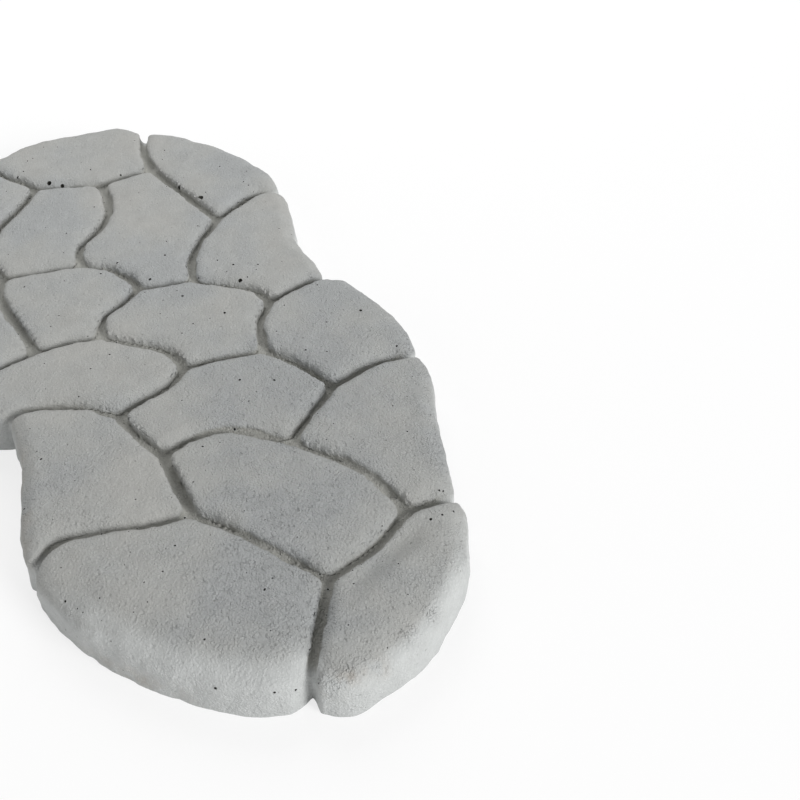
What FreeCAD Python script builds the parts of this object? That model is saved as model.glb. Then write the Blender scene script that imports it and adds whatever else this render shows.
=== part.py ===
import FreeCAD, Part
import os
from math import cos, pi, sin, tan

# Garden stepping stone: one slab of cast concrete, moulded to look like seventeen flat stones laid
# close together.  The slab lies in the XY plane with its underside at Z = 0, its longest way along Y
# and its centre over the origin.  All sizes are in millimetres.

LENGTH = 642.0  # longest way, along Y
WIDTH = 353.0  # widest way, along X
THICKNESS = 36.0  # underside to the flat tops of the stones
GROOVE_WIDTH = 7.0  # between two stones, below their rolled edges
BASE_GAP = 2.0  # between two stones at the underside, so their sides lean inwards
GROOVE_DEPTH = 11.0  # tops of the stones down to the bed between them
NOTCH_DEPTH = 5.0  # how far a groove cuts in where it runs out through the rim
CORNER_RADIUS = 7.0  # corners of the stones, seen from above
SHOULDER_RADIUS = 3.0  # where the top of a stone rolls over into a groove
RIM_RADIUS = 12.0  # where the tops roll over into the slab's outer side
RIM_SLACK = 0.5  # room between the rolled rim's outline and the stones' feet
ROLL_STEPS = 2  # narrow facets that make up a rolled edge
ROLLED_SHARE = 0.9  # most of a corner's radius that a rolled edge may take
ROUNDED_SHARE = 0.45  # most of a side that the rounding at either end of it may take

# Where grooves meet: n for a notch in the rim, clockwise from the back left, j for inside the slab.
MEETINGS = {
    "n1": (-12.4, 29.0),
    "n2": (2.9, 30.2),
    "n3": (12.9, 16.7),
    "n4": (13.4, 3.8),
    "n5": (17.35, -7.2),
    "n6": (15.35, -20.6),
    "n7": (1.85, -31.1),
    "n8": (-12.4, -18.4),
    "n9": (-12.7, -4.3),
    "n10": (-16.2, -0.3),
    "n11": (-16.2, 16.0),
    "j1": (-7.6, 23.6),
    "j2": (-2.2, 22.5),
    "j3": (2.5, 23.3),
    "j4": (6.5, 13.9),
    "j5": (-5.3, 11.2),
    "j6": (-11.4, 11.6),
    "j7": (-12.7, 14.8),
    "j8": (-1.3, 6.8),
    "j9": (2.9, 6.4),
    "j10": (8.1, 1.9),
    "j11": (-5.0, 2.0),
    "j12": (-9.7, 1.8),
    "j13": (0.4, -3.3),
    "j14": (6.4, -3.4),
    "j15": (-5.0, -6.6),
    "j16": (10.2, -8.6),
    "j17": (-2.7, -11.4),
    "j18": (5.8, -13.0),
    "j19": (-1.7, -17.1),
    "j20": (11.5, -21.2),
    "j21": (5.1, -24.7),
}

# The way a line of the plan bends between two meetings, first the rim and then the grooves.
BENDS = {
    ("n1", "n2"): [(-9.4, 31.0), (-6.2, 32.2), (-1.8, 32.2), (1.3, 32.1)],
    ("n2", "n3"): [(5.2, 29.6), (9.0, 26.0), (12.1, 21.7), (12.95, 18.8)],
    ("n3", "n4"): [(13.4, 15.2), (12.3, 8.9), (13.3, 6.0)],
    ("n4", "n5"): [(14.7, 3.5), (16.2, 0.1), (17.65, -4.2)],
    ("n5", "n6"): [(17.75, -8.3), (17.75, -9.6), (16.7, -12.9), (15.8, -17.8)],
    ("n6", "n7"): [(15.7, -21.9), (14.05, -26.1), (12.0, -28.5), (9.0, -31.0), (5.2, -32.2), (3.9, -32.2)],
    ("n7", "n8"): [(-0.5, -30.8), (-3.4, -29.3), (-6.8, -26.8), (-9.7, -23.4), (-11.3, -20.8)],
    ("n8", "n9"): [(-12.75, -15.6), (-12.05, -7.4)],
    ("n9", "n10"): [(-14.9, -3.6)],
    ("n10", "n11"): [(-17.2, 4.0), (-17.75, 7.6), (-17.75, 10.4)],
    ("n11", "n1"): [(-15.6, 22.6), (-14.6, 25.8)],
    ("n1", "j1"): [],
    ("j1", "j2"): [],
    ("j2", "j3"): [(0.0, 23.0)],
    ("n2", "j3"): [(2.2, 26.1)],
    ("j1", "j7"): [(-8.9, 21.4), (-11.2, 18.6)],
    ("n11", "j7"): [],
    ("j7", "j6"): [],
    ("j3", "j4"): [],
    ("n3", "j4"): [(10.3, 16.7)],
    ("j4", "j9"): [(4.4, 11.2), (3.2, 8.8)],
    ("j2", "j5"): [(-1.9, 20.1), (-2.1, 17.5), (-3.7, 14.9), (-5.2, 13.6)],
    ("j5", "j6"): [],
    ("j5", "j8"): [(-3.2, 10.1), (-1.9, 8.4)],
    ("j6", "j12"): [(-11.9, 8.8)],
    ("j8", "j9"): [],
    ("j8", "j11"): [(-2.9, 5.2), (-4.6, 4.1)],
    ("j11", "j12"): [(-7.2, 2.2)],
    ("j9", "j10"): [(7.3, 3.7)],
    ("n4", "j10"): [(10.6, 3.0)],
    ("j10", "j14"): [(6.6, -0.3)],
    ("n10", "j12"): [],
    ("j11", "j13"): [(-0.5, -1.0)],
    ("j13", "j14"): [(2.8, -3.1)],
    ("j13", "j15"): [(-0.9, -4.9)],
    ("n9", "j15"): [(-10.5, -4.0), (-7.4, -4.9)],
    ("j14", "j16"): [(8.3, -5.4)],
    ("n5", "j16"): [(13.6, -7.2)],
    ("j16", "j18"): [],
    ("j15", "j17"): [(-4.0, -9.2)],
    ("j17", "j18"): [(-0.2, -10.4), (1.8, -10.4), (3.7, -11.4)],
    ("j17", "j19"): [],
    ("n8", "j19"): [(-10.4, -16.4), (-7.4, -16.6), (-4.6, -17.1)],
    ("j18", "j20"): [(8.9, -15.9), (10.4, -18.3)],
    ("n6", "j20"): [],
    ("j20", "j21"): [(8.6, -23.3)],
    ("j19", "j21"): [(0.3, -19.0)],
    ("n7", "j21"): [(2.85, -29.6)],
}

# Each stone is the loop of meetings round it, counterclockwise, from the back of the slab to the front.
STONES = [
    "n1 j1 j2 j3 n2",
    "n2 j3 j4 n3",
    "n1 n11 j7 j1",
    "j1 j7 j6 j5 j2",
    "j2 j5 j8 j9 j4 j3",
    "j4 j9 j10 n4 n3",
    "n11 n10 j12 j6 j7",
    "j6 j12 j11 j8 j5",
    "j8 j11 j13 j14 j10 j9",
    "n4 j10 j14 j16 n5",
    "j12 n10 n9 j15 j13 j11",
    "j13 j15 j17 j18 j16 j14",
    "n5 j16 j18 j20 n6",
    "n9 n8 j19 j17 j15",
    "j17 j19 j21 j20 j18",
    "n8 n7 j21 j19",
    "n7 n6 j20 j21",
]
RIM = "n1 n11 n10 n9 n8 n7 n6 n5 n4 n3 n2"

# The squares of the plan are as large as the slab's two lengths ask, with half a gap outside the rim,
# because every line of the plan is the middle of a groove.
PLAN_POINTS = list(MEETINGS.values()) + [bend for bends in BENDS.values() for bend in bends]
SQUARES_WIDE = max(x for x, y in PLAN_POINTS) - min(x for x, y in PLAN_POINTS)
SQUARES_LONG = max(y for x, y in PLAN_POINTS) - min(y for x, y in PLAN_POINTS)
SQUARE_X = (WIDTH + BASE_GAP) / SQUARES_WIDE
SQUARE_Y = (LENGTH + BASE_GAP) / SQUARES_LONG

LEAN = (GROOVE_WIDTH - BASE_GAP) / 2


def on_plan(square):
    """A point of the squared plan as a vector in millimetres."""
    return FreeCAD.Vector(square[0] * SQUARE_X, square[1] * SQUARE_Y, 0)


def bends_between(start, end):
    """The bends of the plan's line from one meeting to the next, in that order."""
    if (start, end) in BENDS:
        return BENDS[start, end]
    return BENDS[end, start][::-1]


def loop_points(loop):
    """The points round a loop of meetings, each with whether it is a corner of the stone."""
    names = loop.split()
    points = []
    for start, end in zip(names, names[1:] + names[:1]):
        points.append((on_plan(MEETINGS[start]), True))
        points += [(on_plan(bend), False) for bend in bends_between(start, end)]
    return points


def inset_loop(points, distance):
    """The loop with every side moved inwards by the same distance."""
    moved = []
    for index, (point, is_corner) in enumerate(points):
        before = point - points[index - 1][0]
        after = points[(index + 1) % len(points)][0] - point
        inward = [FreeCAD.Vector(-side.y, side.x, 0).normalize() for side in (before, after)]
        step = (inward[0] + inward[1]) * (distance / (1 + inward[0].dot(inward[1])))
        moved.append((point + step, is_corner))
    return moved


def corner_arcs(points):
    """A tangent arc at each point of a loop: its start, middle and end, each with the way out of the loop."""
    arcs = []
    for index, (point, is_corner) in enumerate(points):
        before = points[index - 1][0] - point
        after = points[(index + 1) % len(points)][0] - point
        half_turn = (pi - before.getAngle(after)) / 2
        reach = ROUNDED_SHARE * min(before.Length, after.Length)
        if is_corner:
            reach = min(reach, CORNER_RADIUS * tan(half_turn))
        before.normalize()
        after.normalize()
        depth = reach * (1 - cos(half_turn)) / sin(half_turn)
        middle = point + (before + after).normalize() * depth
        out_before = FreeCAD.Vector(-before.y, before.x, 0)
        out_after = FreeCAD.Vector(after.y, -after.x, 0)
        out_middle = (out_before + out_after).normalize()
        ends = [(point + before * reach, out_before), (point + after * reach, out_after)]
        arcs.append([ends[0], (middle, out_middle), ends[1]])
    return arcs


def outline(arcs, growth, height):
    """A closed outline of arcs and straight sides, moved outwards and lifted to its height."""
    lift = FreeCAD.Vector(0, 0, height)
    moved = [[place + out * growth + lift for place, out in arc] for arc in arcs]
    edges = []
    for last_arc, arc in zip(moved[-1:] + moved[:-1], moved):
        edges.append(Part.LineSegment(last_arc[2], arc[0]).toShape())
        edges.append(Part.Arc(*arc).toShape())
    return Part.Wire(edges)


def tightest_corner(arcs):
    """The smallest radius among the arcs that bulge outwards, which a rolled edge makes smaller."""
    radii = []
    for (start, out_start), (middle, out_middle), (end, out_end) in arcs:
        if (middle - (start + end) / 2).dot(out_middle) > 0:
            radii.append(Part.ArcOfCircle(start, middle, end).Radius)
    return min(radii)


def rolled_outlines(arcs, growth, radius):
    """Outlines up a top edge that rolls over in narrow facets, with its radius kept inside its corners."""
    kept = min(radius, ROLLED_SHARE * (tightest_corner(arcs) + growth))
    rings = []
    for step in range(ROLL_STEPS + 1):
        turn = pi / 2 * step / ROLL_STEPS
        rings.append(outline(arcs, growth + kept * (cos(turn) - 1), THICKNESS + kept * (sin(turn) - 1)))
    return rings


def stone(loop):
    """One stone from the underside up, with leaning sides and a rolled top edge."""
    arcs = corner_arcs(inset_loop(loop_points(loop), GROOVE_WIDTH / 2))
    return Part.makeLoft([outline(arcs, LEAN, 0)] + rolled_outlines(arcs, 0, SHOULDER_RADIUS), True, True)


def bed():
    """The concrete between the stones, up to the floor of the grooves."""
    arcs = corner_arcs(inset_loop(loop_points(RIM), BASE_GAP / 2 + NOTCH_DEPTH))
    face = Part.Face(outline(arcs, 0, 0))
    return face.extrude(FreeCAD.Vector(0, 0, THICKNESS - GROOVE_DEPTH))


def rim_room():
    """The room inside the slab's rolled rim, clear of the stones' sides and cutting their outer edges."""
    points = [(point, False) for point, is_corner in inset_loop(loop_points(RIM), GROOVE_WIDTH / 2)]
    arcs = corner_arcs(points)
    rings = rolled_outlines(arcs, RIM_SLACK + LEAN * RIM_RADIUS / THICKNESS, RIM_RADIUS)
    return Part.makeLoft([outline(arcs, RIM_SLACK + LEAN, 0)] + rings, True, True)


os.makedirs("parts", exist_ok=True)
slab = bed().multiFuse([stone(loop) for loop in STONES]).common(rim_room()).removeSplitter()
stepping_stone = slab.Solids[0]
stepping_stone.exportStep("parts/stepping_stone.step")
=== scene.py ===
"""Looks of a garden stepping stone: one slab of grey cast concrete on a plain white floor."""

import logging
import math
import random
from dataclasses import dataclass, field
from enum import Enum

import bpy
import numpy as np
from mathutils import Euler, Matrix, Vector, kdtree


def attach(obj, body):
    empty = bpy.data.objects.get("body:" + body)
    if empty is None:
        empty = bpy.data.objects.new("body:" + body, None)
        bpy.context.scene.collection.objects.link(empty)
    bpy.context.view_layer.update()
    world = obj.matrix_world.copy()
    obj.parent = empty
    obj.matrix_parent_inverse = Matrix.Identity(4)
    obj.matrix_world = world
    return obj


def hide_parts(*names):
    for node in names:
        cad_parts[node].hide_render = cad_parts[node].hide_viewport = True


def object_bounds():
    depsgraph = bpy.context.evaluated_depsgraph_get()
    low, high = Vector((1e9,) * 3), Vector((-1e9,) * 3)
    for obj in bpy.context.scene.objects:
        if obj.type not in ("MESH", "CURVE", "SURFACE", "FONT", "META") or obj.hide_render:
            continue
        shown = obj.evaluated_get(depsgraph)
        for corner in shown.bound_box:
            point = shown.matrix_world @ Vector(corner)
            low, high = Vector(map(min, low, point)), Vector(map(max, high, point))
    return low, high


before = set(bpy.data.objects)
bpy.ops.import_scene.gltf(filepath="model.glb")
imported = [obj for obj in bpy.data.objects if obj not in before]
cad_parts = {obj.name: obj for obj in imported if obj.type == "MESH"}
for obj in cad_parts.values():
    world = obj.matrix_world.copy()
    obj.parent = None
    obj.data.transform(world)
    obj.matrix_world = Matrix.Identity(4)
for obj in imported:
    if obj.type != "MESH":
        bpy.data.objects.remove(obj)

MM = 0.001
NODE = "stepping_stone"
BODY = "root"
CAD_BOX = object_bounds()
TOP = CAD_BOX[1][2]
MIDDLE = 0.5 * TOP
# The least distance that anything is divided by.
LEAST = 0.1 * MM

log = logging.getLogger("stepping_stone")


class Mask(Enum):
    """What the slab's mesh remembers of its shape, for the concrete to read."""

    # Painted shade: how deep a vertex lies in a groove, which darkens the concrete there.
    GROOVE = "groove"
    # Pale outer side where it lay against the mould, plus painted light on the near sides that face the key
    # lamp.
    RIM = "rim"
    STAIN = "stain"
    SAND = "sand"


class Zone(Enum):
    """The parts of the skin that are rougher than the rest, each kept in a vertex group."""

    EDGES = "edges"
    SIDES = "sides"
    CRUMBLED = "crumbled"


class Hollow(Enum):
    """The concrete and the painted shade inside the air holes, by the number of their material slot."""

    SKIN = 0
    PORE = 1


def mm(*lengths: float) -> tuple[float, ...]:
    """Turn lengths in millimetres into metres."""
    return tuple(length * MM for length in lengths)


def linear(hex_colour: str) -> tuple[float, float, float, float]:
    """Turn an sRGB hex colour into linear light.

    Args:
        hex_colour: Six hex digits, with or without a leading hash.

    Returns:
        Red, green, blue and an alpha of one.
    """
    digits = hex_colour.lstrip("#")
    shares = [int(digits[at:at + 2], 16) / 255 for at in (0, 2, 4)]
    lights = [s / 12.92 if s <= 0.04045 else ((s + 0.055) / 1.055) ** 2.4 for s in shares]
    return lights[0], lights[1], lights[2], 1.0


def add_node(tree: bpy.types.NodeTree, kind: str, inputs: dict | None = None, **settings) -> bpy.types.Node:
    """Add one shader node, with its settings, values and links.

    Args:
        tree: The node tree that the node goes into.
        kind: Blender's name for the kind of node, without its first words.
        inputs: For each input, by name or number, a value or the output that feeds it.
        settings: The node's own properties.

    Returns:
        The new node.
    """
    node = tree.nodes.new("ShaderNode" + kind)
    for name, value in settings.items():
        setattr(node, name, value)
    for socket, source in (inputs or {}).items():
        if isinstance(source, bpy.types.NodeSocket):
            tree.links.new(source, node.inputs[socket])
        else:
            node.inputs[socket].default_value = source
    return node


def select_only(piece: bpy.types.Object) -> None:
    """Deselect everything, then make one piece selected and active.

    Args:
        piece: The piece.
    """
    bpy.ops.object.select_all(action="DESELECT")
    piece.select_set(True)
    bpy.context.view_layer.objects.active = piece


def smooth_step(values: np.ndarray, low: float, high: float) -> np.ndarray:
    """Rise smoothly from 0 at low to 1 at high."""
    share = np.clip((values - low) / (high - low), 0, 1)
    return share * share * (3 - 2 * share)


def vertex_values(piece: bpy.types.Object, name: str) -> np.ndarray:
    """Read a vector of every vertex of a piece.

    Args:
        piece: The piece.
        name: The vector's name, such as co or normal.

    Returns:
        One row of three numbers for each vertex.
    """
    values = np.empty(len(piece.data.vertices) * 3, dtype=np.float32)
    piece.data.vertices.foreach_get(name, values)
    return values.reshape(-1, 3)


def plan_tree(places: np.ndarray, chosen: np.ndarray) -> kdtree.KDTree:
    """Sort some vertices by their place seen from above, so that the nearest is quick to find.

    Args:
        places: All vertices.
        chosen: The numbers of those that count.

    Returns:
        The sorted vertices, all at a height of zero.
    """
    tree = kdtree.KDTree(len(chosen))
    for index in chosen:
        tree.insert((places[index, 0], places[index, 1], 0), int(index))
    tree.balance()
    return tree


@dataclass(frozen=True)
class CastConcrete:
    """Cast concrete: grey cement paste with fine sand, matt, as it came out of its mould.

    Its tops drift between cool and warm grey, sand shows as a fine tooth that catches a low light, the
    outer side is smooth and pale where the paste lay against the mould, the near sides that face the key
    lamp carry painted light, and the grooves carry painted shade, a darker grey where shade falls.
    """

    grey: str = "#A2A3A1"
    cool: str = "#9FA1A1"
    warm: str = "#A2A29F"
    # Pale outer side where the paste lay against the mould, also used as painted light on the lit near sides.
    pale_and_lit: str = "#B6B8B7"
    # Painted shade: the darker grey of the grooves, where shade falls.
    groove_shade: str = "#9A9A95"
    earth: str = "#93897D"
    speck: str = "#6E6F6A"
    roughness: float = 0.93
    specular: float = 0.25
    drift: float = 70 * MM
    drift_band: tuple[float, float] = (0.36, 0.64)
    drift_middle: float = 0.5
    blotch: float = 13 * MM
    blotch_band: tuple[float, float] = (0.25, 0.75)
    blotch_light: tuple[float, float] = (0.955, 1.045)
    earth_band: tuple[float, float] = (0.4, 0.7)
    earth_most: float = 0.6
    # How many finer layers the noise has, in the colour, in the tooth and where it bends the grains.
    colour_detail: float = 3.0
    tooth_detail: float = 2.0
    bend_detail: float = 1.0
    # Real sand is finer than this, but would not show at the size of the picture.
    grain: float = 1.5 * MM
    grain_bend: float = 1.5 * MM
    grain_light: tuple[float, float] = (0.93, 1.07)
    # A ring is where a speck or pit fades out, in shares of its cell.
    # Rarity is the share of cells that have none.
    speck_spacing: float = 5.5 * MM
    speck_ring: tuple[float, float] = (0.09, 0.17)
    speck_rarity: float = 0.78
    speck_share: float = 0.5
    pit_spacing: float = 5.0 * MM
    pit_ring: tuple[float, float] = (0.08, 0.34)
    pit_rarity: float = 0.45
    pit_weight: float = 0.45
    tooth: float = 2.2 * MM
    tooth_band: tuple[float, float] = (0.35, 0.65)
    # How much of the tooth is left on smooth patches, on the outer side and the near sides with painted
    # light, and at the far end.
    smooth_tooth: float = 0.5
    rim_tooth: float = 0.6
    far_tooth: float = 0.55

    def material(self) -> bpy.types.Material:
        """Make the material.

        Returns:
            The concrete, which reads the slab's masks.
        """
        made = bpy.data.materials.new("cast_concrete")
        made.use_nodes = True
        tree = made.node_tree
        place = add_node(tree, "TexCoord").outputs["Object"]
        masks = {mask: add_node(tree, "Attribute", attribute_name=mask.value).outputs["Fac"] for mask in Mask}
        bent = self.bent(tree, place)
        grains = add_node(tree, "TexVoronoi", {"Vector": bent, "Scale": 1 / self.grain})
        shader = tree.nodes["Principled BSDF"]
        shader.inputs["Roughness"].default_value = self.roughness
        shader.inputs["Specular IOR Level"].default_value = self.specular
        tree.links.new(self.colour(tree, place, masks, grains), shader.inputs["Base Color"])
        tree.links.new(self.tooth_normal(tree, bent, masks, grains), shader.inputs["Normal"])
        return made

    def bent(self, tree: bpy.types.NodeTree, place: bpy.types.NodeSocket) -> bpy.types.NodeSocket:
        """Bend the coordinates a little sideways, which makes grains and pits uneven.

        Args:
            tree: The material's node tree.
            place: The coordinates.

        Returns:
            The bent coordinates.
        """
        inputs = {"Vector": place, "Scale": 1 / self.grain, "Detail": self.bend_detail}
        noise = add_node(tree, "TexNoise", inputs)
        inputs = {0: noise.outputs["Color"], "Scale": self.grain_bend}
        shift = add_node(tree, "VectorMath", inputs, operation="SCALE")
        return add_node(tree, "VectorMath", {0: shift.outputs[0], 1: place}, operation="ADD").outputs[0]

    def noise(self, tree: bpy.types.NodeTree, place: bpy.types.NodeSocket, size: float,
              detail: float) -> bpy.types.NodeSocket:
        """Add noise whose lumps have a real size.

        Args:
            tree: The material's node tree.
            place: The coordinates that it reads.
            size: The size of a lump, in metres.
            detail: How many finer layers it has.

        Returns:
            The noise, about 0 to 1.
        """
        inputs = {"Vector": place, "Scale": 1 / size, "Detail": detail}
        return add_node(tree, "TexNoise", inputs).outputs["Fac"]

    def colour(self, tree: bpy.types.NodeTree, place: bpy.types.NodeSocket,
               masks: dict[Mask, bpy.types.NodeSocket], grains: bpy.types.Node) -> bpy.types.NodeSocket:
        """Colour the concrete: drifting greys, a pale rim with painted light on the near sides, earth,
        painted shade in the grooves, dark specks and sand.

        Args:
            tree: The material's node tree.
            place: The coordinates that the patterns read.
            masks: What the mesh remembers of its shape.
            grains: The cells that are the grains of sand.

        Returns:
            The colour.
        """
        drift = add_node(tree, "ValToRGB", {"Fac": self.noise(tree, place, self.drift, self.colour_detail)})
        stops = drift.color_ramp.elements
        stops[0].position, stops[1].position = self.drift_band
        stops[0].color, stops[1].color = linear(self.warm), linear(self.cool)
        stops.new(self.drift_middle).color = linear(self.grey)
        # Pale outer side, and painted light on the near sides that face the key lamp.
        pale_and_lit = self.blend(tree, masks[Mask.RIM], drift.outputs["Color"], self.pale_and_lit)
        blotch = self.noise(tree, place, self.blotch, self.colour_detail)
        low, high = self.earth_band
        patches = add_node(tree, "MapRange", {0: blotch, 1: low, 2: high, 4: self.earth_most})
        inputs = {0: masks[Mask.STAIN], 1: patches.outputs[0]}
        earth = add_node(tree, "Math", inputs, operation="MULTIPLY")
        earthy = self.blend(tree, earth.outputs[0], pale_and_lit, self.earth)
        # Painted shade in the grooves.
        groove_shaded = self.blend(tree, masks[Mask.GROOVE], earthy, self.groove_shade)
        cells = add_node(tree, "TexVoronoi", {"Vector": place, "Scale": 1 / self.speck_spacing})
        low, high = self.speck_ring
        inputs = {0: cells.outputs["Distance"], 1: low, 2: high, 3: self.speck_share, 4: 0.0}
        near = add_node(tree, "MapRange", inputs)
        inputs = {0: cells.outputs["Color"], 1: self.speck_rarity}
        picked = add_node(tree, "Math", inputs, operation="GREATER_THAN")
        share = add_node(tree, "Math", {0: near.outputs[0], 1: picked.outputs[0]}, operation="MULTIPLY")
        specked = self.blend(tree, share.outputs[0], groove_shaded, self.speck)
        (low, high), (dark, light) = self.blotch_band, self.blotch_light
        level = add_node(tree, "MapRange", {0: blotch, 1: low, 2: high, 3: dark, 4: light})
        dark, light = self.grain_light
        sandy = add_node(tree, "MapRange", {0: grains.outputs["Color"], 3: dark, 4: light})
        both = add_node(tree, "Math", {0: level.outputs[0], 1: sandy.outputs[0]}, operation="MULTIPLY")
        lit = add_node(tree, "VectorMath", {0: specked, 1: both.outputs[0]}, operation="MULTIPLY")
        return lit.outputs["Vector"]

    def blend(self, tree: bpy.types.NodeTree, share: bpy.types.NodeSocket, first: bpy.types.NodeSocket,
              second: str) -> bpy.types.NodeSocket:
        """Blend a colour of the surface into another by a share.

        Args:
            tree: The material's node tree.
            share: How much of the second colour shows.
            first: The colour so far.
            second: The colour that comes over it, as hex digits.

        Returns:
            The blended colour.
        """
        inputs = {"Factor": share, "A": first, "B": linear(second)}
        return add_node(tree, "Mix", inputs, data_type="RGBA").outputs["Result"]

    def tooth_normal(self, tree: bpy.types.NodeTree, place: bpy.types.NodeSocket,
                     masks: dict[Mask, bpy.types.NodeSocket], grains: bpy.types.Node) -> bpy.types.NodeSocket:
        """Roughen the surface with sand and shallow pits, less on the smooth outer side and at the far end.

        Args:
            tree: The material's node tree.
            place: The coordinates, slightly bent, that the pits read.
            masks: What the mesh remembers of its shape.
            grains: The cells that are the grains of sand.

        Returns:
            The normal for the shader.
        """
        low, high = self.tooth_band
        drift = self.noise(tree, place, self.drift, self.tooth_detail)
        rough = add_node(tree, "MapRange", {0: drift, 1: low, 2: high, 3: self.smooth_tooth, 4: 1.0})
        smooth = add_node(tree, "MapRange", {0: masks[Mask.RIM], 3: 1.0, 4: self.rim_tooth})
        sandy = add_node(tree, "MapRange", {0: masks[Mask.SAND], 3: self.far_tooth, 4: 1.0}, clamp=False)
        skin = add_node(tree, "Math", {0: smooth.outputs[0], 1: sandy.outputs[0]}, operation="MULTIPLY")
        amount = add_node(tree, "Math", {0: rough.outputs[0], 1: skin.outputs[0]}, operation="MULTIPLY")
        cells = add_node(tree, "TexVoronoi", {"Vector": place, "Scale": 1 / self.pit_spacing})
        low, high = self.pit_ring
        inputs = {0: cells.outputs["Distance"], 1: low, 2: high, 3: -1.0, 4: 0.0}
        floor = add_node(tree, "MapRange", inputs, interpolation_type="SMOOTHSTEP")
        inputs = {0: cells.outputs["Color"], 1: self.pit_rarity}
        picked = add_node(tree, "Math", inputs, operation="GREATER_THAN")
        pits = add_node(tree, "Math", {0: floor.outputs[0], 1: picked.outputs[0]}, operation="MULTIPLY")
        dome = add_node(tree, "Math", {0: 1.0, 1: grains.outputs["Distance"]}, operation="SUBTRACT")
        bump = add_node(tree, "Math", {0: dome.outputs[0], 1: grains.outputs["Color"]}, operation="MULTIPLY")
        inputs = {0: pits.outputs[0], 1: self.pit_weight, 2: bump.outputs[0]}
        height = add_node(tree, "Math", inputs, operation="MULTIPLY_ADD")
        inputs = {"Strength": amount.outputs[0], "Distance": self.tooth, "Height": height.outputs[0]}
        return add_node(tree, "Bump", inputs).outputs["Normal"]


@dataclass(frozen=True)
class PorePaintedShade:
    """Painted shade inside an air hole: grey paste coloured nearly black, standing in for the shade that
    fills the hole.
    """

    dark: str = "#34342F"
    light: str = "#4A4A44"
    roughness: float = 1.0
    blotch: float = 1.5 * MM

    def material(self) -> bpy.types.Material:
        """Make the material.

        Returns:
            The nearly black painted shade.
        """
        made = bpy.data.materials.new("pore_painted_shade")
        made.use_nodes = True
        tree = made.node_tree
        place = add_node(tree, "TexCoord").outputs["Object"]
        uneven = add_node(tree, "TexNoise", {"Vector": place, "Scale": 1 / self.blotch})
        ramp = add_node(tree, "ValToRGB", {"Fac": uneven.outputs["Fac"]})
        ramp.color_ramp.elements[0].color = linear(self.dark)
        ramp.color_ramp.elements[1].color = linear(self.light)
        shader = tree.nodes["Principled BSDF"]
        shader.inputs["Roughness"].default_value = self.roughness
        tree.links.new(ramp.outputs["Color"], shader.inputs["Base Color"])
        return made


@dataclass(frozen=True)
class Unevenness:
    """One size of lumps and hollows that casting and hand finishing leave in the skin."""

    name: str
    size: float
    height: float
    zone: Zone | None = None

    def press(self, piece: bpy.types.Object) -> None:
        """Push the skin in and out along its normals.

        Args:
            piece: The slab.
        """
        lumps = bpy.data.textures.new(self.name, "CLOUDS")
        lumps.noise_scale = self.size
        moved = piece.modifiers.new(self.name, "DISPLACE")
        moved.texture = lumps
        moved.texture_coords = "LOCAL"
        moved.direction = "NORMAL"
        moved.vertex_group = self.zone.value if self.zone else ""
        moved.mid_level = 0.5
        # The noise reaches half its strength each way.
        moved.strength = 2 * self.height
        select_only(piece)
        bpy.ops.object.modifier_apply(modifier=moved.name)


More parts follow.
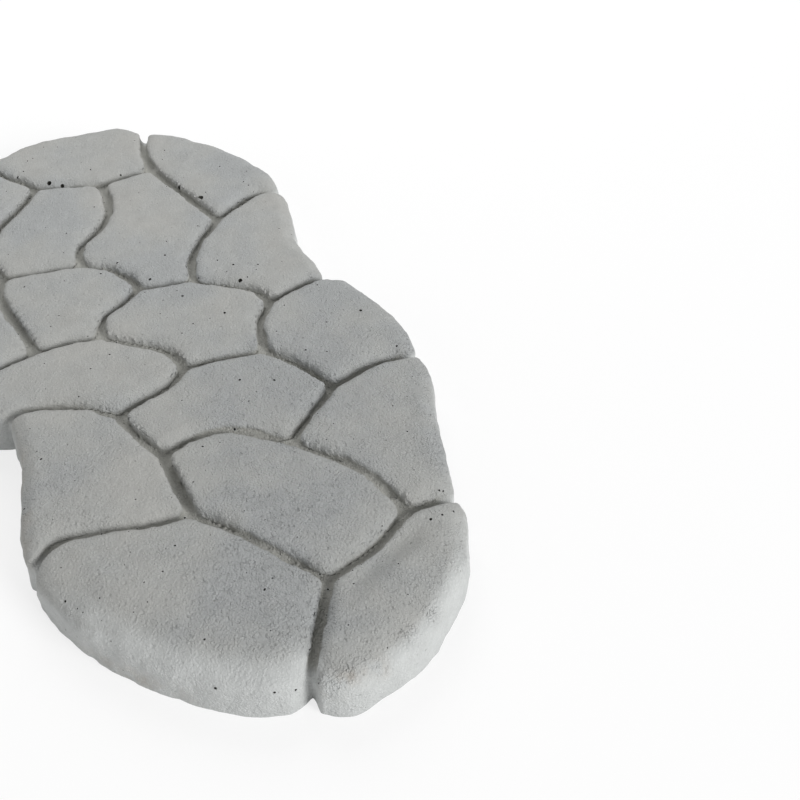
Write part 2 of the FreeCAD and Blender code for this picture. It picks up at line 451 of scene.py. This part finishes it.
@dataclass
class Pinholes:
    """Air holes in the skin: the large ones where they show, and small ones scattered by chance."""

    # Places on the top, by X and Y, and the width of the hole, all in millimetres.
    large: tuple[tuple[float, float, float], ...] = (
        (-64.7, 240.3, 4.6), (-54.3, 235.8, 4.2), (-79.5, 279.8, 2.6), (-74.5, 282.3, 2.2),
        (-90.0, 259.3, 2.8), (-84.5, 263.8, 2.4), (-82.8, 228.3, 2.8), (-27.3, 247.8, 2.4),
        (-2.8, 234.6, 2.4), (21.5, 230.8, 2.2), (83.4, 215.8, 2.2), (42.5, 198.0, 4.0),
        (57.0, 174.0, 4.6), (110.3, 168.8, 3.6), (104.5, 199.8, 2.4), (98.0, 183.8, 2.2),
        (101.0, 177.8, 2.2), (103.5, 169.8, 2.0), (65.0, 137.3, 2.2), (-63.8, 129.8, 2.2),
        (-24.6, 103.8, 2.4), (-39.0, 92.8, 2.2), (18.3, 119.3, 2.6), (13.8, 101.8, 2.6),
        (-2.9, 74.8, 2.8), (64.3, 50.0, 4.0), (63.5, 70.3, 2.8), (82.4, 63.8, 2.2),
        (34.4, 66.3, 2.4), (44.2, 14.1, 2.6), (9.0, 1.5, 2.4), (17.4, 44.3, 2.4),
        (143.5, -16.6, 3.0), (76.8, -18.6, 2.4), (62.3, -69.6, 2.4), (38.8, -61.2, 2.4),
        (25.0, -104.8, 2.6), (-29.5, -117.7, 3.0), (-22.3, -167.2, 2.6), (-103.8, -94.2, 2.4),
        (-96.2, -216.6, 1.4), (-93.4, -220.8, 1.4), (-83.4, -230.6, 1.4), (12.5, -244.6, 2.4),
        (139.5, -202.4, 2.0), (142.2, -203.0, 2.0), (125.3, -224.7, 2.6), (133.6, -223.7, 2.4),
        (142.4, -221.6, 2.2), (47.9, -239.5, 1.8), (49.7, -250.1, 2.0), (67.0, -246.0, 1.8),
        (73.4, -242.8, 1.6), (44.1, -266.5, 1.6), (28.0, -288.7, 2.0), (34.4, -290.9, 1.8),
        (26.9, -309.2, 1.6), (102.7, -302.2, 2.0),
    )
    # Places on the front side, by X and Z, and the width of the hole.
    front: tuple[tuple[float, float, float], ...] = ((2.0, 24.2, 2.0), (14.2, 21.0, 3.0), (-29.0, 23.0, 2.0))
    scattered: int = 260
    small_width: tuple[float, float] = (0.9, 1.9)
    spacing: float = 6.0
    # How low a hole may lie, and how much it is stretched each way.
    lowest: float = 1.0
    stretch: tuple[float, float] = (0.75, 1.25)
    # How deep a hole's middle lies under the skin, as a share of its width.
    depth_share: float = 0.35
    roundness: int = 2
    # The longest edge that is dissolved after the cut, in millimetres.
    sliver: float = 0.001
    seed: int = 17
    pore_shade: PorePaintedShade = PorePaintedShade()

    def cut(self, piece: bpy.types.Object) -> int:
        """Cut the air holes out of the slab.

        Args:
            piece: The slab, whose second material slot takes the painted shade inside the holes.

        Returns:
            How many holes were cut.
        """
        dice = random.Random(self.seed)
        pores = self.on_skin(piece, self.starts(dice))
        cutter = bpy.data.objects.new("air_holes", bpy.data.meshes.new("air_holes"))
        bpy.context.scene.collection.objects.link(cutter)
        select_only(cutter)
        bpy.ops.object.mode_set(mode="EDIT")
        for centre, width in pores:
            turn = [dice.uniform(0, math.tau) for axis in range(3)]
            stretch = [dice.uniform(*self.stretch) for axis in range(3)]
            bpy.ops.mesh.primitive_ico_sphere_add(
                subdivisions=self.roundness, radius=width / 2, location=centre, rotation=turn, scale=stretch)
        bpy.ops.object.mode_set(mode="OBJECT")
        for material in piece.data.materials:
            cutter.data.materials.append(material)
        for polygon in cutter.data.polygons:
            # Painted shade: the insides of the holes take the nearly black slot.
            polygon.material_index = Hollow.PORE.value
        select_only(piece)
        holes = piece.modifiers.new("air holes", "BOOLEAN")
        holes.operation = "DIFFERENCE"
        holes.solver = "MANIFOLD"
        holes.object = cutter
        bpy.ops.object.modifier_apply(modifier=holes.name)
        bpy.data.objects.remove(cutter)
        bpy.ops.object.mode_set(mode="EDIT")
        bpy.ops.mesh.select_all(action="SELECT")
        bpy.ops.mesh.dissolve_degenerate(threshold=self.sliver * MM)
        bpy.ops.object.mode_set(mode="OBJECT")
        return len(pores)

    def starts(self, dice: random.Random) -> list[tuple[Vector, Vector, float]]:
        """Choose where the air holes go.

        Args:
            dice: Where chance comes from.

        Returns:
            For each hole a point outside the slab, the way from it to the skin and the width, in metres.
        """
        down = Vector((0, 0, -1))
        inward = Vector((0, 1, 0))
        starts = [(Vector((x * MM, y * MM, 2 * TOP)), down, w * MM) for x, y, w in self.large]
        starts += [(Vector((x * MM, 2 * CAD_BOX[0][1], z * MM)), inward, w * MM) for x, z, w in self.front]
        low, high = CAD_BOX
        taken = [start.xy for start, way, width in starts]
        while len(starts) < len(self.large) + len(self.front) + self.scattered:
            spot = Vector((dice.uniform(low[0], high[0]), dice.uniform(low[1], high[1])))
            width = dice.uniform(*self.small_width) * MM
            if all((spot - other).length > self.spacing * MM for other in taken):
                taken.append(spot)
                starts.append((Vector((*spot, 2 * TOP)), down, width))
        return starts

    def on_skin(self, piece: bpy.types.Object,
                starts: list[tuple[Vector, Vector, float]]) -> list[tuple[Vector, float]]:
        """Find where the holes lie on the slab.

        Args:
            piece: The slab.
            starts: For each hole a point outside, the way to the skin and the width.

        Returns:
            For each hole that meets the slab its centre and width, in metres.
        """
        found = []
        for start, way, width in starts:
            hit, point, normal, face = piece.ray_cast(start, way)
            if hit and point.z > self.lowest * MM:
                found.append((point - normal * width * self.depth_share, width))
        return found


@dataclass(frozen=True)
class Wear:
    """A place on the rim where the top is worn down into one long roll."""

    centre: tuple[float, float]
    spread: float
    reach: float
    drop: float

    def press(self, places: np.ndarray, reach: np.ndarray) -> None:
        """Lower the top towards the rim, most of all in the middle of the worn place.

        Args:
            places: The slab's vertices, which are moved.
            reach: How far each vertex lies inside the foot.
        """
        away = np.hypot(places[:, 0] - self.centre[0], places[:, 1] - self.centre[1])
        near = np.exp(-(away / self.spread) ** 2)
        fall = 1 - smooth_step(reach, 0, self.reach)
        places[:, 2] -= self.drop * near * fall * np.clip(places[:, 2] / TOP, 0, 1)


@dataclass(frozen=True)
class Trough:
    """A soft trough pressed into the top, by its middle, the way it runs and its size."""

    centre: tuple[float, float]
    angle: float
    length: float
    width: float
    depth: float

    def press(self, places: np.ndarray) -> None:
        """Lower the top along the trough.

        Args:
            places: The slab's vertices, which are moved.
        """
        right, back = places[:, 0] - self.centre[0], places[:, 1] - self.centre[1]
        along = right * math.cos(self.angle) + back * math.sin(self.angle)
        across = back * math.cos(self.angle) - right * math.sin(self.angle)
        near = np.exp(-(along / self.length) ** 2 - (across / self.width) ** 2)
        places[:, 2] -= self.depth * near * np.clip(places[:, 2] / TOP, 0, 1)


@dataclass(frozen=True)
class Notch:
    """A crease in the outer side where a groove runs out, by its foot and the way that leads inwards."""

    foot: tuple[float, float]
    inward: float
    width: float
    depth: float
    # How far in the push dies out, in depths.
    run: float = 2.2

    def press(self, places: np.ndarray) -> None:
        """Push the outer side inwards along the crease.

        Args:
            places: The slab's vertices, which are moved.
        """
        way = np.array((math.cos(self.inward), math.sin(self.inward)))
        away = places[:, :2] - np.array(self.foot)
        along = away @ way
        across = away[:, 1] * way[0] - away[:, 0] * way[1]
        near = np.clip(1 - np.abs(across) / self.width, 0, 1)
        near *= 1 - smooth_step(along, 0, self.run * self.depth)
        places[:, :2] += self.depth * near[:, None] * way


@dataclass(frozen=True)
class Smear:
    """A soft patch of something that clings to the skin, by its middle and how far it spreads each way."""

    centre: tuple[float, float, float]
    spread: tuple[float, float, float]

    def over(self, places: np.ndarray) -> np.ndarray:
        """Weigh the patch at every vertex.

        Args:
            places: The slab's vertices.

        Returns:
            1 in the middle of the patch, falling off to 0.
        """
        away = (places - np.array(self.centre)) / np.array(self.spread)
        return np.exp(-np.sum(away * away, axis=1))


def covered(smears: tuple[Smear, ...], places: np.ndarray) -> np.ndarray:
    """Weigh several patches together at every vertex, 1 at most."""
    return np.clip(sum(smear.over(places) for smear in smears), 0, 1)


@dataclass
class SteppingStone:
    """The slab's skin, made from the solid, then worn and pitted as a cast one is."""

    # The even mesh, and how far the solid is drawn down before it is cut off level.
    voxel: float = 1.93 * MM
    sink: float = 14 * MM
    merge: float = 0.01 * MM
    smoothing: int = 3
    easing: float = 0.5
    smooth_angle: float = math.radians(50)
    finish: CastConcrete = CastConcrete()
    pinholes: Pinholes = field(default_factory=Pinholes)
    lumps: tuple[Unevenness, ...] = (
        Unevenness("sagging", *mm(90, 1.5)),
        Unevenness("dents", *mm(28, 0.8)),
        Unevenness("ripples", *mm(9, 0.35)),
        Unevenness("ragged edges", *mm(14, 1.2), Zone.EDGES),
        Unevenness("crumbs", *mm(5, 0.9), Zone.EDGES),
        Unevenness("knocked sides", *mm(17, 1.5), Zone.SIDES),
        Unevenness("crumbled rim", *mm(6, 2.2), Zone.CRUMBLED),
    )
    # How deep a groove's painted shade starts and is full, and how deep the floor of a groove lies at least.
    groove_shade_start: float = 2.5 * MM
    groove_shade_full: float = 8.0 * MM
    floor_depth: float = 6.5 * MM
    # How far from the foot the outer side ends, and where its blends start or end, as shares of that.
    rim_reach: float = 14 * MM
    rim_share: float = 0.4
    side_share: float = 0.2
    edge_shares: tuple[float, float] = (0.5, 1.2)
    # How deep the outer side starts to be pale and is quite pale, and how steep the edge of a stone is.
    rim_depth: tuple[float, ...] = mm(4, 16)
    steep_band: tuple[float, float] = (0.02, 0.5)
    # How far from the foot the near sides that face the key lamp carry painted light, and where that ends,
    # left and right of the notch.
    painted_light_left: tuple[float, ...] = mm(8, 24)
    painted_light_right: tuple[float, ...] = mm(6, 13)
    near_end: tuple[float, ...] = mm(195, 225)
    near_facing: tuple[float, float] = (0.2, 0.8)
    # Where the rim is worn and creased, how the far sides of the grooves slope, and the troughs.
    wear: tuple[Wear, ...] = (
        Wear(mm(-95, -245), *mm(70, 34, 8)),
        Wear(mm(150, -225), *mm(30, 26, 6)),
        Wear(mm(72, -305), *mm(50, 24, 6)),
        Wear(mm(-20, -290), *mm(55, 28, 5)),
    )
    notch: Notch = Notch(mm(18.5, -311), math.radians(56), *mm(8, 7))
    slope_reach: float = 12 * MM
    slope_drop: float = 4.5 * MM
    troughs: tuple[Trough, ...] = (
        Trough(mm(90, -241), math.radians(29), *mm(36, 9, 4.5)),
        Trough(mm(44, -269), math.radians(64), *mm(26, 4, 3)),
    )
    # The share of a groove's depth that silt fills, and where there is more of it or none.
    silt: float = 0.3
    more_silt: float = 0.28
    filled: tuple[Smear, ...] = (
        Smear(mm(101, -177, 30), mm(20, 32, 30)),
        Smear(mm(21, -210, 30), mm(28, 24, 30)),
        Smear(mm(20, -110, 30), mm(36, 16, 30)),
    )
    deep: tuple[Smear, ...] = (
        Smear(mm(35, -277, 30), mm(30, 30, 30)),
        Smear(mm(150, -75, 30), mm(40, 30, 30)),
        Smear(mm(-25, -140, 30), mm(30, 30, 30)),
        Smear(mm(80, -60, 30), mm(25, 25, 30)),
        Smear(mm(102, -79, 30), mm(20, 18, 30)),
        Smear(mm(130, -212, 30), mm(25, 15, 30)),
    )
    # Where the rim has crumbled, and where earth clings.
    rough: tuple[Smear, ...] = (
        Smear(mm(39, -312, 33), mm(12, 5, 12)),
        Smear(mm(63, -311, 33), mm(7, 5, 12)),
        Smear(mm(86, -300, 33), mm(7, 6, 12)),
        Smear(mm(104, -290, 33), mm(7, 6, 12)),
    )
    earth: tuple[Smear, ...] = (
        Smear(mm(-122, -112, 28), mm(9, 55, 14)),
        Smear(mm(-76, -260, 6), mm(32, 32, 12)),
        Smear(mm(42, -313, 33), mm(13, 5, 12)),
        Smear(mm(64, -311, 33), mm(6, 4, 12)),
    )
    # Where, going towards the near end, the skin starts to be sandier and is sandy all over.
    sand_band: tuple[float, ...] = mm(-160, 200)
    crumbled_sand: float = 2.5
    zone_levels: int = 16

    def build(self) -> bpy.types.Object:
        """Model the slab's skin and dress it.

        Returns:
            The finished piece, in place of the plain solid.
        """
        piece = self.copy_solid()
        self.remesh(piece)
        reach, outward = self.foot_reach(vertex_values(piece, "co"), self.voxel)
        self.mark(piece, reach, outward)
        self.press_relief(piece, reach)
        self.weigh_zones(piece, reach)
        for lump in self.lumps:
            lump.press(piece)
        self.cut_flat(piece)
        piece.data.materials.clear()
        piece.data.materials.append(self.finish.material())
        piece.data.materials.append(self.pinholes.pore_shade.material())
        holes = self.pinholes.cut(piece)
        log.info("%s: %d air holes", piece.name, holes)
        select_only(piece)
        bpy.ops.object.shade_smooth_by_angle(angle=self.smooth_angle)
        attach(piece, BODY)
        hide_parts(NODE)
        return piece

    def copy_solid(self) -> bpy.types.Object:
        """Copy the solid's mesh, merge its loose triangles and draw its underside down.

        Returns:
            The copy, deeper than the slab, so that its underside can be cut clean.
        """
        piece = bpy.data.objects.new("slab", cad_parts[NODE].data.copy())
        bpy.context.scene.collection.objects.link(piece)
        select_only(piece)
        bpy.ops.object.mode_set(mode="EDIT")
        bpy.ops.mesh.select_all(action="SELECT")
        bpy.ops.mesh.remove_doubles(threshold=self.merge)
        bpy.ops.mesh.select_all(action="DESELECT")
        bpy.ops.object.mode_set(mode="OBJECT")
        for polygon in piece.data.polygons:
            polygon.select = polygon.center.z < self.merge
        bpy.ops.object.mode_set(mode="EDIT")
        bpy.ops.mesh.extrude_region_move(TRANSFORM_OT_translate={"value": (0, 0, -self.sink)})
        bpy.ops.object.mode_set(mode="OBJECT")
        return piece

    def remesh(self, piece: bpy.types.Object) -> None:
        """Lay an even mesh over the slab, fine enough to be worn and pitted, and ease its edges.

        Args:
            piece: The slab.
        """
        select_only(piece)
        evened = piece.modifiers.new("even mesh", "REMESH")
        evened.mode = "VOXEL"
        evened.voxel_size = self.voxel
        bpy.ops.object.modifier_apply(modifier=evened.name)
        eased = piece.modifiers.new("eased edges", "SMOOTH")
        eased.factor = self.easing
        eased.iterations = self.smoothing
        bpy.ops.object.modifier_apply(modifier=eased.name)

    def on_top(self, reach: np.ndarray) -> np.ndarray:
        """Tell the top, by 1, from the outer side, by 0."""
        return smooth_step(reach, self.rim_share * self.rim_reach, self.rim_reach)

    def press_relief(self, piece: bpy.types.Object, reach: np.ndarray) -> None:
        """Silt the grooves up, slope their far sides, wear the rim and press in the troughs and the crease.

        Args:
            piece: The slab.
            reach: How far each vertex lies inside the foot.
        """
        places = vertex_values(piece, "co")
        silted = self.silt + self.more_silt * covered(self.filled, places)
        fill = silted * self.on_top(reach) * (1 - covered(self.deep, places))
        places[:, 2] += fill * (TOP - places[:, 2]) * (places[:, 2] > MIDDLE)
        self.slope_far_sides(places, reach)
        for worn in self.wear:
            worn.press(places, reach)
        for trough in self.troughs:
            trough.press(places)
        self.notch.press(places)
        piece.data.vertices.foreach_set("co", places.ravel())
        piece.data.update()

    def slope_far_sides(self, places: np.ndarray, reach: np.ndarray) -> None:
        """Let the far side of every groove slope down to it, while the near side stays crisp.

        Args:
            places: The slab's vertices, which are moved.
            reach: How far each vertex lies inside the foot.
        """
        upper = places[:, 2] > MIDDLE
        low = places[:, 2] < TOP - self.floor_depth
        floors = plan_tree(places, np.flatnonzero(low & upper & (reach > self.rim_reach)))
        for index in np.flatnonzero(upper):
            x, y, z = places[index]
            nearest, found, away = floors.find((x, y, 0))
            if away < self.slope_reach:
                share = 1 - away / self.slope_reach
                facing = min(max((y - nearest.y) / max(away, LEAST), 0), 1)
                places[index, 2] -= self.slope_drop * share * share * facing * min((z - MIDDLE) / MIDDLE, 1)

    def weigh_zones(self, piece: bpy.types.Object, reach: np.ndarray) -> None:
        """Note the sides of the grooves, the outer sides and the crumbled places in vertex groups.

        Args:
            piece: The slab.
            reach: How far each vertex lies inside the foot.
        """
        steep = smooth_step(1 - vertex_values(piece, "normal")[:, 2], *self.steep_band)
        steep *= smooth_step(reach, *(share * self.rim_reach for share in self.edge_shares))
        sides = 1 - smooth_step(reach, self.side_share * self.rim_reach, self.rim_reach)
        crumbled = covered(self.rough, vertex_values(piece, "co"))
        for zone, weights in {Zone.EDGES: steep, Zone.SIDES: sides, Zone.CRUMBLED: crumbled}.items():
            levels = np.round(weights * self.zone_levels).astype(int)
            group = piece.vertex_groups.new(name=zone.value)
            for level in range(1, self.zone_levels + 1):
                group.add(np.flatnonzero(levels == level).tolist(), level / self.zone_levels, "REPLACE")

    def foot_reach(self, places: np.ndarray, band: float) -> tuple[np.ndarray, np.ndarray]:
        """Measure how far each vertex lies inside the slab's foot, seen from above, and which way that is.

        Args:
            places: The vertices.
            band: Half the height of the band of vertices that counts as the foot.

        Returns:
            The distances, in metres, and the ways straight out to the foot, as rows of X and Y.
        """
        foot = plan_tree(places, np.flatnonzero(np.abs(places[:, 2]) < band))
        nearest = np.array([foot.find((x, y, 0))[0][:2] for x, y, z in places])
        away = nearest - places[:, :2]
        reach = np.linalg.norm(away, axis=1)
        return reach, away / np.maximum(reach, LEAST)[:, None]

    def cut_flat(self, piece: bpy.types.Object) -> None:
        """Cut the slab off level and close its flat underside.

        Args:
            piece: The slab.
        """
        select_only(piece)
        bpy.ops.object.mode_set(mode="EDIT")
        bpy.ops.mesh.select_all(action="SELECT")
        bpy.ops.mesh.bisect(plane_co=(0, 0, 0), plane_no=(0, 0, 1), use_fill=True, clear_inner=True)
        bpy.ops.object.mode_set(mode="OBJECT")

    def mark(self, piece: bpy.types.Object, reach: np.ndarray, outward: np.ndarray) -> None:
        """Note on each vertex how far it is in a groove, for painted shade, or on the outer side or a lit
        near side, for paleness and painted light, and how earthy and how sandy.

        Args:
            piece: The slab.
            reach: How far each vertex lies inside the foot.
            outward: Which way the foot lies from each vertex.
        """
        places = vertex_values(piece, "co")
        inside = self.on_top(reach)
        depth = TOP - places[:, 2]
        # Painted shade: darker the deeper a vertex lies in a groove.
        groove = smooth_step(depth, self.groove_shade_start, self.groove_shade_full) * inside
        rim = (1 - inside) * smooth_step(depth, *self.rim_depth)
        # Painted light: the near sides that face the key lamp are paled as though lit.
        left, right = (1 - smooth_step(reach, *ends) for ends in (self.painted_light_left, self.painted_light_right))
        pale_and_lit = np.where(places[:, 0] < self.notch.foot[0] + self.rim_reach, left, right)
        near = smooth_step(-places[:, 1], *self.near_end) * smooth_step(-outward[:, 1], *self.near_facing)
        rim = np.maximum(rim, pale_and_lit * near)
        stain = covered(self.earth, places)
        sand = smooth_step(-places[:, 1], *self.sand_band) + self.crumbled_sand * covered(self.rough, places)
        masks = {Mask.GROOVE: groove, Mask.RIM: rim, Mask.STAIN: stain, Mask.SAND: sand}
        for mask, values in masks.items():
            kept = piece.data.attributes.new(mask.value, "FLOAT", "POINT")
            kept.data.foreach_set("value", values.astype(np.float32))


@dataclass(frozen=True)
class Lamp:
    """One square lamp that faces the slab, by its place and side in metres and its power in watts."""

    name: str
    place: tuple[float, float, float]
    side: float
    power: float

    def hang(self) -> None:
        """Hang the lamp."""
        data = bpy.data.lights.new(self.name, "AREA")
        data.size = self.side
        data.energy = self.power
        hung = bpy.data.objects.new(self.name, data)
        hung.location = self.place
        hung.rotation_euler = (-Vector(self.place)).to_track_quat("-Z", "Y").to_euler()
        bpy.context.scene.collection.objects.link(hung)


@dataclass
class Studio:
    """The floor, the lamps and the camera round the slab."""

    camera_place: tuple[float, ...] = mm(-32.3, -627.3, 573.6)
    camera_pitch: float = math.radians(45)
    camera_turn: float = math.radians(-18.8)
    lens: float = 48.6
    floor_side: float = 14.0
    floor_white: str = "#F4F4F4"
    floor_lift: float = 0.72
    sky_light: float = 0.4
    lamps: tuple[Lamp, ...] = (
        Lamp("key", (2.8, -3.7, 2.0), 2.0, 208.0),
        Lamp("fill", (-2.4, -0.6, 1.2), 2.0, 13.0),
        Lamp("back", (0.3, 1.6, 1.3), 1.4, 22.0),
    )

    def build(self) -> None:
        """Set up everything round the slab."""
        self.lay_floor()
        self.light()
        self.aim_camera()

    def lay_floor(self) -> None:
        """Lay a plain white floor under the slab, that keeps a soft shadow."""
        bpy.ops.object.select_all(action="DESELECT")
        bpy.ops.mesh.primitive_plane_add(size=self.floor_side)
        floor = bpy.context.object
        floor.name = "floor"
        made = bpy.data.materials.new("white_floor")
        made.use_nodes = True
        tree = made.node_tree
        tree.nodes.clear()
        diffuse = add_node(tree, "BsdfDiffuse", {"Color": linear(self.floor_white)})
        glow = add_node(tree, "Emission", {"Color": (1, 1, 1, 1), "Strength": 1.0})
        share = add_node(tree, "Math", {0: self.seen(tree), 1: self.floor_lift}, operation="MULTIPLY")
        lift = add_node(tree, "MixShader", {0: share.outputs[0], 1: diffuse.outputs[0], 2: glow.outputs[0]})
        add_node(tree, "OutputMaterial", {"Surface": lift.outputs[0]})
        floor.data.materials.append(made)

    def seen(self, tree: bpy.types.NodeTree) -> bpy.types.NodeSocket:
        """Tell where the eye looks, straight on, in a reflection or through glass.

        Args:
            tree: The node tree that asks.

        Returns:
            1 for such a ray and 0 for one that only carries light.
        """
        path = add_node(tree, "LightPath")
        found = path.outputs["Is Camera Ray"]
        for ray in ("Is Glossy Ray", "Is Transmission Ray"):
            found = add_node(tree, "Math", {0: found, 1: path.outputs[ray]}, operation="MAXIMUM").outputs[0]
        return found

    def light(self) -> None:
        """Whiten the sky and hang the lamps, a low soft key at the front right and two that fill."""
        world = bpy.data.worlds.new("studio")
        bpy.context.scene.world = world
        world.use_nodes = True
        tree = world.node_tree
        sky = tree.nodes["Background"]
        sky.inputs["Color"].default_value = (1, 1, 1, 1)
        strength = add_node(tree, "MapRange", {0: self.seen(tree), 3: self.sky_light, 4: 1.0})
        tree.links.new(strength.outputs[0], sky.inputs["Strength"])
        for lamp in self.lamps:
            lamp.hang()

    def aim_camera(self) -> None:
        """Put the camera above the near end, looking down at the slab."""
        data = bpy.data.cameras.new("camera")
        data.lens = self.lens
        camera = bpy.data.objects.new("camera", data)
        camera.location = self.camera_place
        camera.rotation_euler = Euler((self.camera_pitch, 0, self.camera_turn))
        bpy.context.scene.collection.objects.link(camera)
        bpy.context.scene.camera = camera


def main() -> None:
    """Build the slab and the studio round it."""
    logging.basicConfig(level=logging.INFO, format="%(message)s")
    bpy.context.scene.view_settings.view_transform = "Standard"
    piece = SteppingStone().build()
    piece.data.calc_loop_triangles()
    log.info("%s: %d triangles", piece.name, len(piece.data.loop_triangles))
    Studio().build()


if __name__ == "__main__":
    main()
